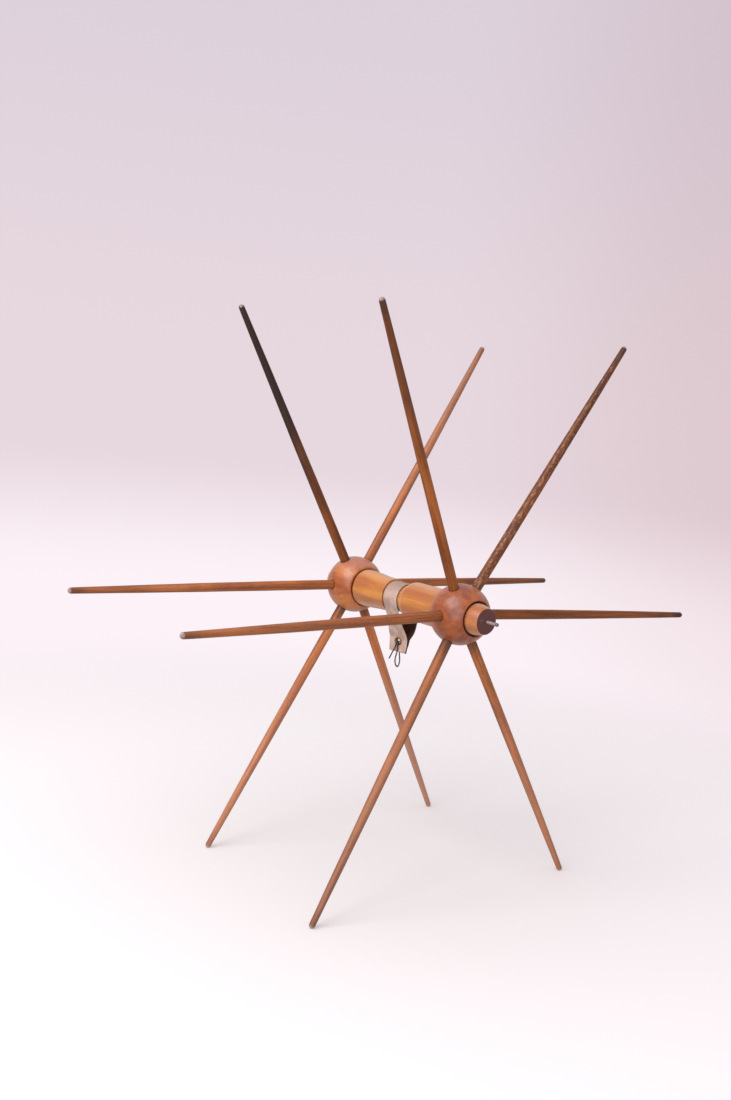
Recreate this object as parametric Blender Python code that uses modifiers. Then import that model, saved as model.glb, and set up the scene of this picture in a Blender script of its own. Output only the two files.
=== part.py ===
"""A hank swift: a turned spindle barrel with two ball hubs, six tapered spokes in each, and a
leather brake strap hanging in the barrel's groove. It stands on its own spokes on Z = 0, with
the spindle along X. Metres, +Z up, the front hub at +X."""

import math

import bmesh
import bpy
from mathutils import Matrix, Quaternion, Vector

GAP = 0.0003  # clearance between pieces that touch
MERGE = 0.00001

# Spokes
SPOKE_COUNT = 6
SPOKE_REACH = 0.300  # from the spindle's axis to the tip
SPOKE_SPLAY = 3.7  # degrees that the spokes lean outward, away from the barrel
SPOKE_START = 0.0164
SPOKE_ROOT_RADIUS = 0.00475
SPOKE_TIP_RADIUS = 0.00275
# The mortises were bored by eye. Each pair says how far a spoke strays, in degrees, around the
# hub and towards the front, for the bearings 0, 60, 120, 180, 240 and 300 from +Y towards +Z.
STRAYS = {
    "front": ((-1.0, 0.0), (-0.5, 1.0), (-1.5, 0.5), (0.5, 1.0), (0.0, 0.0), (0.5, 0.5)),
    "rear": ((-0.5, 0.0), (-1.5, 0.5), (0.0, 0.0), (1.0, 0.5), (1.5, 1.5), (0.0, 0.5)),
}
STANDING = (5, 6)  # the spokes that it stands on, trimmed to reach the floor together
FOOT_DROP = 0.2572  # from the axis down to the centre of a standing tip's rounding
SPINDLE_HEIGHT = FOOT_DROP + SPOKE_TIP_RADIUS

# Hubs
HUB_OFFSET = 0.0792  # from the middle of the barrel to a ball's centre
BALL_RADIUS = 0.0281
BALL_HALF_LENGTH = 0.0275
INNER_MOUTH_RADIUS = 0.0199  # the bore's dished mouth at the barrel's shoulder
OUTER_MOUTH_RADIUS = 0.0167  # and at the stub
MOUTH_DEPTH = 0.0022

# Barrel
SHOULDER_RADIUS = 0.0182
TENON_RADIUS = 0.0143
STUB_ENDS = {"front": 0.1138, "rear": 0.1112}  # the rear one is a little shorter
STUB_END_RADIUS = 0.0118
EDGE = 0.0006
GROOVE_RADIUS = 0.0136
GROOVE_FRONT = 0.0115
GROOVE_REAR = -0.0155

# Axle pins
PIN_RADIUS = 0.0015
PIN_HEAD_RADIUS = 0.0017
PIN_TIPS = {"front": 0.1285, "rear": 0.1235}
PIN_DEPTH = 0.0200

# Brake strap: its path lies in the Y-Z plane, measured from the spindle's axis
STRAP_WIDTH = 0.0200
STRAP_THICKNESS = 0.0010
STRAP_X = -0.0048
STRAP_RADIUS = GROOVE_RADIUS + GAP + STRAP_THICKNESS / 2
STRAP_LEAVES = 24.0  # degrees below level where the front run leaves the barrel
LAYER_PITCH = STRAP_THICKNESS + GAP
TAB_Y = 0.0026  # the middle of the two ends laid together, at the eyelet's height
TAB_TOP = -0.0385  # where the two runs meet and lie flat together
TAB_BOTTOM = -0.0530
TAB_TWIST = 14.5  # degrees that the hanging ends turn about the vertical
TAB_LEAN = 3.0  # degrees that they lean towards the back
TWIST_TOP = -0.0200
TWIST_BOTTOM = -0.0380
FLARE = 0.0020  # how far the back layer's free corner bulges above the eyelet
FLARE_TOP, FLARE_PEAK, FLARE_BOTTOM = -0.0260, -0.0390, -0.0480

# Eyelet, along its own axis from the middle of the tab
EYELET_Z = -0.0428
EYELET_BORE = 0.0023
EYELET_TUBE = 0.00275
EYELET_FLANGE = 0.0042
FLANGE_THICKNESS = 0.0007
ROLL_RADIUS = 0.0036
ROLL_THICKNESS = 0.0004
WASHER_RADIUS = 0.0040
WASHER_THICKNESS = 0.0004
TAB_HALF = STRAP_THICKNESS + GAP / 2

WIRE_RADIUS = 0.00065

ALONG_X = Quaternion((0, 1, 0), math.radians(90))
SPINDLE = Vector((0, 0, SPINDLE_HEIGHT))


def clear_scene():
    for obj in list(bpy.data.objects):
        bpy.data.objects.remove(obj, do_unlink=True)


def new_collection(name):
    collection = bpy.data.collections.new(name)
    bpy.context.scene.collection.children.link(collection)
    return collection


def material(name, color, roughness, metallic=0.0):
    made = bpy.data.materials.new(name)
    made.use_nodes = True
    shader = made.node_tree.nodes["Principled BSDF"]
    shader.inputs["Base Color"].default_value = (*color, 1)
    shader.inputs["Roughness"].default_value = roughness
    shader.inputs["Metallic"].default_value = metallic
    return made


def empty(name, location, parent=None):
    made = bpy.data.objects.new(name, None)
    PARTS.objects.link(made)
    made.parent = parent
    made.location = location
    return made


def add_object(name, mesh, finish, parent, collection=None):
    made = bpy.data.objects.new(name, mesh)
    (collection or PARTS).objects.link(made)
    if finish:
        mesh.materials.append(finish)
    made.parent = parent
    made.rotation_mode = "QUATERNION"
    return made


def line_mesh(name, points, closed):
    mesh = bpy.data.meshes.new(name)
    edges = [(i, i + 1) for i in range(len(points) - 1)]
    if closed:
        edges.append((len(points) - 1, 0))
    mesh.from_pydata([(radius, 0, height) for radius, height in points], edges, [])
    return mesh


def turned(name, profile, steps, finish, parent, closed=False):
    """A turned piece about its own Z. The profile is (radius, height) down the outer side."""
    made = add_object(name, line_mesh(name, profile, closed), finish, parent)
    screw = made.modifiers.new("turn", "SCREW")
    screw.axis = "Z"
    screw.steps = steps
    screw.render_steps = steps
    screw.use_merge_vertices = True
    screw.merge_threshold = MERGE
    screw.use_smooth_shade = True
    return made


def catmull_rom(points, pieces):
    """A smooth curve through the points, with this many pieces between each two of them."""
    ends = [2 * points[0] - points[1], *points, 2 * points[-1] - points[-2]]
    curve = []
    for i in range(len(points) - 1):
        a, b, c, d = ends[i : i + 4]
        for step in range(pieces):
            t = step / pieces
            curve.append(
                0.5 * (2 * b + (c - a) * t + (2 * a - 5 * b + 4 * c - d) * t * t)
                + 0.5 * (3 * b - a - 3 * c + d) * t**3
            )
    return curve + [points[-1]]


def smooth_outline(points, pieces=3):
    return [tuple(p) for p in catmull_rom([Vector(p) for p in points], pieces)]


def barrel_front_outline():
    """From the front shoulder to the groove: nearly straight, with a round lip at the groove."""
    waist = smooth_outline(
        [(SHOULDER_RADIUS, 0.0575), (0.0183, 0.0450), (0.0183, 0.0300), (0.0183, 0.0170)], 2
    )
    return waist + [(0.0178, 0.0140), (0.0168, 0.0121), (0.0160, GROOVE_FRONT)]


def barrel_rear_outline():
    """From the groove to the rear shoulder: a taper that swells towards the ball."""
    return [(0.0159, GROOVE_REAR), (0.0162, -0.0165)] + smooth_outline(
        [(0.0163, -0.0200), (0.0166, -0.0310), (0.0178, -0.0450), (SHOULDER_RADIUS, -0.0575)], 2
    )


def barrel_end(side):
    """From the bottom of the pin's hole, over the stub's end, to the shoulder at the ball."""
    hole = PIN_RADIUS + GAP
    end = STUB_ENDS[side]
    mouth = HUB_OFFSET - ball_height(INNER_MOUTH_RADIUS)
    return [
        (0, end - PIN_DEPTH),
        (hole, end - PIN_DEPTH),
        (hole, end),
        (STUB_END_RADIUS - EDGE, end),
        (STUB_END_RADIUS, end - EDGE),
        (TENON_RADIUS, 0.1020),
        (TENON_RADIUS, mouth + MOUTH_DEPTH - GAP),
        (SHOULDER_RADIUS, mouth - GAP),
    ]


def make_barrel(parent, finish):
    front = barrel_end("front")
    rear = [(radius, -height) for radius, height in reversed(barrel_end("rear"))]
    groove = [(GROOVE_RADIUS, GROOVE_FRONT), (GROOVE_RADIUS, GROOVE_REAR)]
    profile = front + barrel_front_outline() + groove + barrel_rear_outline() + rear
    made = turned("spindle_barrel", profile, 36, finish, parent)
    made.rotation_quaternion = ALONG_X


def ball_height(radius):
    return BALL_HALF_LENGTH * math.sqrt(1 - (radius / BALL_RADIUS) ** 2)


def ball_profile(pieces=14):
    """The ball's section: its outer arc from mouth to mouth, then the bore between them."""
    start = math.asin(ball_height(OUTER_MOUTH_RADIUS) / BALL_HALF_LENGTH)
    end = -math.asin(ball_height(INNER_MOUTH_RADIUS) / BALL_HALF_LENGTH)
    arc = []
    for i in range(pieces + 1):
        angle = start + (end - start) * i / pieces
        arc.append((BALL_RADIUS * math.cos(angle), BALL_HALF_LENGTH * math.sin(angle)))
    bore = TENON_RADIUS + GAP
    return arc + [(bore, arc[-1][1] + MOUTH_DEPTH), (bore, arc[0][1] - MOUTH_DEPTH)]


def spoke_direction(side, number):
    stray, lean = STRAYS[side][number - 1]
    bearing = math.radians(360 / SPOKE_COUNT * (number - 1) + stray)
    outward = SPOKE_SPLAY if side == "front" else -SPOKE_SPLAY
    splay = math.radians(outward + lean)
    level = math.cos(splay)
    return Vector((math.sin(splay), level * math.cos(bearing), level * math.sin(bearing)))


def spoke_reach(number, direction):
    if number in STANDING:
        return FOOT_DROP / -direction.z + SPOKE_TIP_RADIUS
    return SPOKE_REACH


def spoke_profile(reach, pieces=4, tip_pieces=3):
    """A spoke along Z: a round tip, then a radius that grows ever more slowly to the root."""
    tip_centre = reach - SPOKE_TIP_RADIUS
    outline = []
    for i in range(tip_pieces):
        angle = math.radians(90 * (1 - i / tip_pieces))
        outline.append(
            (SPOKE_TIP_RADIUS * math.cos(angle), tip_centre + SPOKE_TIP_RADIUS * math.sin(angle))
        )
    for i in range(pieces + 1):
        t = 1 - i / pieces
        radius = SPOKE_ROOT_RADIUS - (SPOKE_ROOT_RADIUS - SPOKE_TIP_RADIUS) * t * t
        outline.append((radius, SPOKE_START + (tip_centre - SPOKE_START) * t))
    outline[0] = (0, reach)
    return outline + [(0, SPOKE_START)]


def mortise_cutter(hub_centre, directions):
    """One mesh of round rods, a rod for each mortise."""
    mesh = bpy.data.meshes.new("mortises")
    rods = bmesh.new()
    for direction in directions:
        turn = direction.to_track_quat("Z", "Y").to_matrix().to_4x4()
        middle = Matrix.Translation(hub_centre + direction * 0.0230)
        bmesh.ops.create_cone(
            rods,
            cap_ends=True,
            segments=16,
            radius1=SPOKE_ROOT_RADIUS + GAP,
            radius2=SPOKE_ROOT_RADIUS + GAP,
            depth=0.0240,
            matrix=middle @ turn,
        )
    rods.to_mesh(mesh)
    rods.free()
    return mesh


def cut(obj, cutter_mesh):
    cutter = add_object("cutter_" + obj.name, cutter_mesh, None, None, CUTTERS)
    cutter.hide_render = True
    cutter.display_type = "WIRE"
    boolean = obj.modifiers.new("cut", "BOOLEAN")
    boolean.operation = "DIFFERENCE"
    boolean.object = cutter


def make_hub(side, parent, ball_finish, spoke_finish):
    """A ball and its six spokes, each in its own mortise."""
    centre = Vector((HUB_OFFSET if side == "front" else -HUB_OFFSET, 0, 0))
    directions = [spoke_direction(side, number + 1) for number in range(SPOKE_COUNT)]
    ball = turned("hub_" + side, ball_profile(), 36, ball_finish, parent, closed=True)
    ball.location = centre
    facing = 0 if side == "front" else 180
    ball.rotation_quaternion = Quaternion((0, 0, 1), math.radians(facing)) @ ALONG_X
    cut(ball, mortise_cutter(SPINDLE + centre, directions))
    for number, direction in enumerate(directions, 1):
        profile = spoke_profile(spoke_reach(number, direction))
        spoke = turned(f"spoke_{side}_{number}", profile, 14, spoke_finish, parent)
        spoke.location = centre
        spoke.rotation_quaternion = direction.to_track_quat("Z", "Y")


def make_pin(side, parent, finish):
    """A steel pin, a light drive into the stub, with a slightly mushroomed round end."""
    head = PIN_HEAD_RADIUS
    inner_end = STUB_ENDS[side] - PIN_DEPTH + GAP
    tip = PIN_TIPS[side]
    profile = [(0, tip)]
    for degrees in (60, 30, 0):
        angle = math.radians(degrees)
        profile.append((head * math.cos(angle), tip - head + head * math.sin(angle)))
    profile += [
        (PIN_RADIUS, tip - 2 * head),
        (PIN_RADIUS, inner_end),
        (0, inner_end),
    ]
    pin = turned("axle_pin_" + side, profile, 16, finish, parent)
    facing = 0 if side == "front" else 180
    pin.rotation_quaternion = Quaternion((0, 0, 1), math.radians(facing)) @ ALONG_X


def tab_layer(z, side):
    """A point of the tab's front (-1) or back (1) layer, on the strap's path."""
    middle = TAB_Y + (EYELET_Z - z) * math.tan(math.radians(TAB_LEAN))
    return Vector((middle + side * LAYER_PITCH / 2, z))


def front_run():
    """The strap's taut side: up from the tab's bottom to where it meets the barrel."""
    leave = math.radians(STRAP_LEAVES)
    touch = Vector((-STRAP_RADIUS * math.cos(leave), -STRAP_RADIUS * math.sin(leave)))
    along = Vector((math.sin(leave), -math.cos(leave)))
    straight = 0.0270
    flat = [tab_layer(z, -1) for z in (TAB_BOTTOM, -0.0480, -0.0430)]
    bend = catmull_rom([flat[-1], tab_layer(TAB_TOP, -1), touch + along * straight, touch], 5)
    run = [touch + along * straight * (1 - i / 4) for i in range(1, 4)]
    return flat[:-1] + bend[:11] + run


def over_the_barrel(pieces=16):
    first = 180 + STRAP_LEAVES
    angles = [math.radians(first * (1 - i / pieces)) for i in range(pieces + 1)]
    return [Vector((STRAP_RADIUS * math.cos(a), STRAP_RADIUS * math.sin(a))) for a in angles]


def back_run():
    """The strap's slack side: straight down off the barrel, then round to the front one."""
    route = [
        Vector((STRAP_RADIUS, 0)),
        Vector((0.0149, -0.0080)),
        Vector((0.0150, -0.0170)),
        Vector((0.0139, -0.0260)),
        Vector((0.0109, -0.0315)),
        Vector((0.0068, -0.0358)),
        tab_layer(TAB_TOP, 1),
        tab_layer(-0.0430, 1),
    ]
    flat = [tab_layer(z, 1) for z in (-0.0480, TAB_BOTTOM - 0.0006)]
    return catmull_rom(route, 3)[1:] + flat


def smooth_step(value, low, high):
    share = min(max((value - low) / (high - low), 0), 1)
    return share * share * (3 - 2 * share)


def twisted(x, y, z):
    """The place of a strap point once the hanging ends have turned towards the front."""
    share = smooth_step(z, TWIST_TOP, TWIST_BOTTOM)
    return (STRAP_X + x, y + x * math.tan(math.radians(TAB_TWIST)) * share, z)


def flared(x, z):
    """How far the back layer's corner stands away from the front layer."""
    rise = smooth_step(z, FLARE_TOP, FLARE_PEAK) * smooth_step(z, FLARE_BOTTOM, FLARE_PEAK)
    return FLARE * rise * max(x / (STRAP_WIDTH / 2), 0) ** 2


def tab_frame(lean=TAB_LEAN):
    """Turns the tab's own axes, width, height and out of the front face, into the strap's."""
    across = Vector((1, math.tan(math.radians(TAB_TWIST)), 0)).normalized()
    up = Vector((0, -math.tan(math.radians(lean)), 1))
    outward = across.cross(up).normalized()
    turn = Matrix((across, outward.cross(across), outward)).transposed().to_4x4()
    return Matrix.Translation((STRAP_X, TAB_Y, EYELET_Z)) @ turn


def make_strap(parent, finish):
    """One ribbon, bent over the barrel, thickened and pierced for the eyelet."""
    front = front_run() + over_the_barrel()
    path = front + back_run()
    across = [STRAP_WIDTH * (j / 4 - 0.5) for j in range(5)]
    places, faces = [], []
    for i, point in enumerate(path):
        for x in across:
            bulge = flared(x, point.y) if i >= len(front) else 0
            places.append(twisted(x, point.x + bulge, point.y))
    for i in range(len(path) - 1):
        for j in range(4):
            k = 5 * i + j
            faces.append((k, k + 5, k + 6, k + 1))
    mesh = bpy.data.meshes.new("brake_strap")
    mesh.from_pydata(places, [], faces)
    strap = add_object("brake_strap", mesh, finish, parent)
    solid = strap.modifiers.new("leather", "SOLIDIFY")
    solid.thickness = STRAP_THICKNESS
    solid.offset = 0
    solid.use_even_offset = True
    punch = bpy.data.meshes.new("eyelet_hole")
    rod = bmesh.new()
    bmesh.ops.create_cone(
        rod,
        cap_ends=True,
        segments=24,
        radius1=EYELET_TUBE + GAP,
        radius2=EYELET_TUBE + GAP,
        depth=0.0120,
        matrix=Matrix.Translation(SPINDLE) @ tab_frame(),
    )
    rod.to_mesh(punch)
    rod.free()
    cut(strap, punch)


def place_in_tab(obj, lean=TAB_LEAN):
    obj.rotation_mode = "QUATERNION"
    obj.location = tab_frame(lean).to_translation()
    obj.rotation_quaternion = tab_frame(lean).to_quaternion()


def make_eyelet(parent, finish):
    """A flange, a tube through the two layers, and the tube's end rolled over the washer."""
    front = TAB_HALF + GAP
    back = -(TAB_HALF + 2 * GAP + WASHER_THICKNESS)
    profile = [
        (EYELET_BORE + 0.0003, front + FLANGE_THICKNESS),
        (EYELET_FLANGE - 0.0008, front + FLANGE_THICKNESS),
        (EYELET_FLANGE, front + 0.0003),
        (EYELET_FLANGE, front),
        (EYELET_TUBE, front),
        (EYELET_TUBE, back),
        (ROLL_RADIUS, back),
        (ROLL_RADIUS - 0.0003, back - ROLL_THICKNESS),
        (EYELET_BORE + 0.0002, back - ROLL_THICKNESS),
        (EYELET_BORE, back),
        (EYELET_BORE, front + 0.0004),
    ]
    place_in_tab(turned("eyelet", profile, 24, finish, parent, closed=True))


def make_washer(parent, finish):
    top = -(TAB_HALF + GAP)
    profile = [
        (WASHER_RADIUS, top),
        (WASHER_RADIUS, top - WASHER_THICKNESS),
        (EYELET_TUBE + GAP, top - WASHER_THICKNESS),
        (EYELET_TUBE + GAP, top),
    ]
    place_in_tab(turned("eyelet_washer", profile, 24, finish, parent, closed=True))


def hook_route():
    """The wire from its free tail, in the tab's axes: across, up, and out of the front face."""
    return [
        (-0.0077, -0.0185, 0.0027),
        (-0.0057, -0.0140, 0.0025),
        (-0.0036, -0.0094, 0.0026),
        (-0.0017, -0.0058, 0.0028),
        (-0.0010, -0.0038, 0.0034),
        (-0.0008, -0.0016, 0.0032),
        (-0.0008, -0.0009, 0.0012),
        (-0.0008, -0.0009, -0.0022),
        (-0.0006, -0.0017, -0.0039),
        (-0.0005, -0.0045, -0.0042),
        (-0.0007, -0.0085, -0.0038),
        (-0.0008, -0.0115, -0.0037),
        (-0.0004, -0.0145, -0.0038),
        (0.0001, -0.0175, -0.0039),
        (0.0005, -0.0205, -0.0037),
        (0.0007, -0.0230, -0.0029),
        (0.0007, -0.0247, -0.0018),
        (0.0007, -0.0254, -0.0004),
        (0.0004, -0.0246, 0.0010),
        (0.0001, -0.0229, 0.0020),
        (-0.0003, -0.0206, 0.0026),
        (-0.0004, -0.0180, 0.0028),
        (-0.0001, -0.0150, 0.0027),
        (0.0004, -0.0118, 0.0025),
        (0.0008, -0.0088, 0.0024),
        (0.0010, -0.0062, 0.0027),
        (0.0010, -0.0038, 0.0034),
        (0.0008, -0.0016, 0.0032),
        (0.0008, -0.0009, 0.0014),
    ]


def make_hook(parent, finish):
    """One bent wire: a tail, a turn through the eyelet, and a long loop for a weight."""
    points = catmull_rom([Vector(p) for p in hook_route()], 2)
    curve = bpy.data.curves.new("wire_hook", "CURVE")
    curve.dimensions = "3D"
    curve.bevel_depth = WIRE_RADIUS
    curve.bevel_resolution = 2
    curve.use_fill_caps = True
    spline = curve.splines.new("POLY")
    spline.points.add(len(points) - 1)
    for place, point in zip(spline.points, points):
        place.co = (*point, 1)
    hook = bpy.data.objects.new("wire_hook", curve)
    PARTS.objects.link(hook)
    curve.materials.append(finish)
    hook.parent = parent
    place_in_tab(hook, lean=0)


PARTS = None
CUTTERS = None


def main():
    global PARTS, CUTTERS
    clear_scene()
    PARTS = new_collection("hank_swift")
    CUTTERS = new_collection("cutters")
    barrel_wood = material("barrel_wood", (0.52, 0.25, 0.09), 0.45)
    ball_wood = material("ball_wood", (0.36, 0.13, 0.05), 0.35)
    spoke_wood = material("spoke_wood", (0.30, 0.11, 0.04), 0.45)
    pin_steel = material("pin_steel", (0.55, 0.50, 0.50), 0.35, 1.0)
    leather = material("leather", (0.36, 0.29, 0.25), 0.85)
    eyelet_metal = material("eyelet_metal", (0.12, 0.09, 0.07), 0.45, 1.0)
    wire_steel = material("wire_steel", (0.20, 0.18, 0.19), 0.40, 1.0)

    swift = empty("spindle_axis", SPINDLE)
    make_barrel(swift, barrel_wood)
    for side in ("front", "rear"):
        make_hub(side, swift, ball_wood, spoke_wood)
        make_pin(side, swift, pin_steel)

    brake = empty("brake_axis", SPINDLE)
    make_strap(brake, leather)
    make_eyelet(brake, eyelet_metal)
    make_washer(brake, eyelet_metal)
    make_hook(brake, wire_steel)


main()
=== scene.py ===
"""The looks of the hank swift: finer wood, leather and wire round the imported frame, in a pale
studio. Metres, in the frame's own axes: the spindle along X, the front hub at +X, Z up."""

import math

import bmesh
import bpy
from mathutils import Matrix, Vector, noise


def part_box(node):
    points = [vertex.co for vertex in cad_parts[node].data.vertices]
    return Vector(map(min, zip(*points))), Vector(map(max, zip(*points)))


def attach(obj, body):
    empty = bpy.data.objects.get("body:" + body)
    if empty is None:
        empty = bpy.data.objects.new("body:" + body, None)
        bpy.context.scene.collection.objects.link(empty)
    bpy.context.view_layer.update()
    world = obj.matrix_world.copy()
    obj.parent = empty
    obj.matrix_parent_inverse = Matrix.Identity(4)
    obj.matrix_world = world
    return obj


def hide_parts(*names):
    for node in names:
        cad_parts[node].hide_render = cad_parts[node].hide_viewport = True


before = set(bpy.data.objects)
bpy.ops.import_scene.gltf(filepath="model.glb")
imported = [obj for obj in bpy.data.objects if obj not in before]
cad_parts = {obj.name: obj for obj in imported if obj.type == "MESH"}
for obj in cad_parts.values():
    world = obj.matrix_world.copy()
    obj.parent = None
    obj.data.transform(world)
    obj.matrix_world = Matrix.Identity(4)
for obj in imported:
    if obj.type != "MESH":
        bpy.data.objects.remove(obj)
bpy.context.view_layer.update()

# Places and sizes that the frame gives
barrel_low, barrel_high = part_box("spindle_barrel")
hub_low, hub_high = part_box("hub_front")
SPINDLE_HEIGHT = (barrel_low.z + barrel_high.z) / 2
SPINDLE = Vector((0, 0, SPINDLE_HEIGHT))
STUB_ENDS = {"front": barrel_high.x, "rear": -barrel_low.x}
PIN_TIPS = {"front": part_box("axle_pin_front")[1].x, "rear": -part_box("axle_pin_rear")[0].x}
BALL_RADIUS = (hub_high.z - hub_low.z) / 2

# The rest repeats the frame's own making. GAP is the air left between neighbouring pieces. FIT is how
# much wider in radius a drilled hole is than its rod. TURN_STEPS is how many sides a turned piece has
GAP = 0.0003
FIT = 0.00022
TURN_STEPS = 96

# The hubs, the barrel and the pins: radii, and places along the spindle from its middle
HUB_OFFSET = 0.0792
BALL_HALF_LENGTH = 0.0275
INNER_MOUTH_RADIUS = 0.0199
OUTER_MOUTH_RADIUS = 0.0167
MOUTH_DEPTH = 0.0022
TENON_RADIUS = 0.0143
SHOULDER_RADIUS = 0.0182
STUB_END_RADIUS = 0.0118
STUB_FOOT = 0.1020
TENON_END, TENON_MIDDLE = 0.1010, 0.0950
GROOVE_RADIUS = 0.0136
GROOVE_FRONT = 0.0115
GROOVE_REAR = -0.0155
BARREL_WAIST = (
    (SHOULDER_RADIUS, 0.0575), (0.0183, 0.0450), (0.0183, 0.0300), (0.0183, 0.0180),
)
GROOVE_LIP = (
    (0.01825, 0.0165), (0.01800, 0.0147), (0.01745, 0.0131), (0.01660, 0.0119),
    (0.01590, GROOVE_FRONT),
)
REAR_LIP_RADIUS = 0.0162
BARREL_TAPER = (
    (0.01625, -0.0170), (0.0163, -0.0200), (0.0166, -0.0310), (0.0178, -0.0450),
    (SHOULDER_RADIUS, -0.0575),
)
PIN_RADIUS = 0.0015
PIN_HEAD_RADIUS = 0.0017
PIN_CROWN = 0.0014
PIN_DEPTH = 0.0200

# The spokes: angles in degrees, and distances from the middle of the ball. A hub's two standing
# spokes end at the floor. STRAYS holds how far each spoke is off its even turn about the spindle,
# and how far it leans towards the front
SPOKE_SPLAY = 3.7
SPOKE_START = 0.0164
SPOKE_ROOT_RADIUS = 0.00475
SPOKE_TIP_RADIUS = 0.00275
SPOKE_REACH = 0.300
FOOT_DROP = SPINDLE_HEIGHT - SPOKE_TIP_RADIUS
STANDING = (5, 6)
HOLE_LENGTH = 0.0230
HOLE_MIDDLE = 0.0235
UNEVEN_FROM = 0.0300
SPOKE_BOW = 0.0009
STRAYS = {
    "front": ((-1.0, 0.0), (-0.5, 1.0), (-1.5, 0.5), (0.5, 1.0), (0.0, 0.0), (0.5, 0.5)),
    "rear": ((-0.5, 0.0), (-1.5, 0.5), (0.0, 0.0), (1.0, 0.5), (1.5, 1.5), (0.0, 0.5)),
}

# The strap: it leaves the groove at STRAP_LEAVES degrees below level, runs straight, and bends into
# the hanging tab, where its two layers lie together. Heights are from the spindle's middle
STRAP_WIDTH = 0.0200
STRAP_THICKNESS = 0.0010
STRAP_X = -0.0048
STRAP_RADIUS = GROOVE_RADIUS + GAP + STRAP_THICKNESS / 2
STRAP_LEAVES = 24.0
STRAIGHT_RUN = 0.0350
LAYER_PITCH = STRAP_THICKNESS + GAP
TAB_Y = 0.0026
TAB_CORNER = -0.0394
TAB_BEND = -0.0407
TAB_STRAIGHT = -0.0430
TAB_BOTTOM = -0.0530
SLACK_BOTTOM = -0.0536
TAB_TWIST = 14.5
TAB_LEAN = 3.0
TWIST_TOP = -0.0200
TWIST_BOTTOM = -0.0380
CURL = 0.0007
CURL_TOP = -0.0450
FLARE = 0.0020
FLARE_TOP, FLARE_PEAK, FLARE_BOTTOM = -0.0260, -0.0390, -0.0500

# The eyelet, its washer and the wire
EYELET_Z = -0.0428
EYELET_BORE = 0.0023
EYELET_TUBE = 0.00275
EYELET_FLANGE = 0.0042
FLANGE_THICKNESS = 0.0007
ROLL_RADIUS = 0.0036
ROLL_THICKNESS = 0.0004
WASHER_RADIUS = 0.0040
WASHER_THICKNESS = 0.0004
TAB_HALF = STRAP_THICKNESS + GAP / 2
WIRE_RADIUS = 0.00065

# Turns what was made along Z to lie along the spindle
ALONG_X = Matrix.Rotation(math.radians(90), 4, "Y")

# Colours, as linear red, green and blue
BARREL_PALE = (0.84, 0.345, 0.062, 1)
BARREL_DEEP = (0.50, 0.135, 0.018, 1)
# painted sheen, put at the barrel's outline
BARREL_SHEEN = (0.84, 0.47, 0.31, 1)
BARREL_WARM = (0.50, 0.150, 0.055, 1)
STUB_RED = (0.44, 0.145, 0.085, 1)
BALL_PALES = {"front": (0.47, 0.118, 0.020, 1), "rear": (0.62, 0.205, 0.042, 1)}
BALL_DEEPS = {"front": (0.280, 0.048, 0.011, 1), "rear": (0.42, 0.088, 0.016, 1)}
# painted sheen, put at the balls' outline and on their tops
BALL_SHEEN = (0.66, 0.31, 0.24, 1)
SPOKE_DUST = (0.66, 0.36, 0.26, 1)
# how strongly each ball's top gets the painted sheen
TOP_SHEEN = {"front": 0.15, "rear": 0.55}
SPOKE_PALE = (0.56, 0.165, 0.030, 1)
SPOKE_DEEP = (0.260, 0.060, 0.010, 1)
SOOT = (0.022, 0.012, 0.011, 1)
# dark grime, also used for painted shade in crevices and under the balls
GRIME_AND_SHADE = (0.045, 0.020, 0.014, 1)
END_GRAIN = (0.160, 0.026, 0.020, 1)
BARE_WOOD = (0.58, 0.27, 0.13, 1)
# pale worn wood with a painted highlight, for the spokes' rounded ends
WORN_TIP_AND_HIGHLIGHT = (0.50, 0.40, 0.38, 1)
PIN_PALE = (1.0, 0.90, 0.89, 1)
PIN_DEEP = (0.74, 0.62, 0.62, 1)
PIN_END = (0.09, 0.055, 0.06, 1)
PIN_COLLAR = (0.10, 0.05, 0.05, 1)
OUTSIDE_PALE, OUTSIDE_DEEP = (0.70, 0.500, 0.420, 1), (0.50, 0.340, 0.275, 1)
INSIDE_PALE, INSIDE_DEEP = (0.070, 0.022, 0.011, 1), (0.030, 0.010, 0.006, 1)
EDGE_PALE, EDGE_DEEP = (0.10, 0.060, 0.045, 1), (0.045, 0.026, 0.020, 1)
BRONZE_PALE, BRONZE_DEEP = (0.46, 0.28, 0.14, 1), (0.20, 0.11, 0.055, 1)
WIRE_PALE, WIRE_DEEP = (0.20, 0.17, 0.17, 1), (0.07, 0.055, 0.055, 1)

# How each spoke has aged: its shade, how dark its outer part is, how dark its tip is, how scuffed it
# is and how dusty its outer half is
AGES = {
    ("front", 1): (0.62, 0.10, 0.80, 0.10, 0.00),
    ("front", 2): (0.50, 0.25, 0.45, 1.00, 0.04),
    ("front", 3): (0.86, 0.45, 0.55, 0.25, 0.00),
    ("front", 4): (0.95, 0.00, 0.35, 0.15, 0.15),
    ("front", 5): (0.92, 0.20, 0.30, 0.50, 0.28),
    ("front", 6): (1.12, 0.00, 0.10, 0.30, 0.35),
    ("rear", 1): (0.92, 0.35, 0.45, 0.25, 0.08),
    ("rear", 2): (1.08, 0.05, 0.20, 0.35, 0.30),
    ("rear", 3): (0.55, 0.95, 0.90, 0.30, 0.00),
    ("rear", 4): (1.15, 0.15, 0.40, 0.10, 0.15),
    ("rear", 5): (1.30, 0.00, 0.20, 0.20, 0.35),
    ("rear", 6): (1.60, 0.00, 0.10, 0.35, 0.80),
}


# ---------------------------------------------------------------- materials


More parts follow.
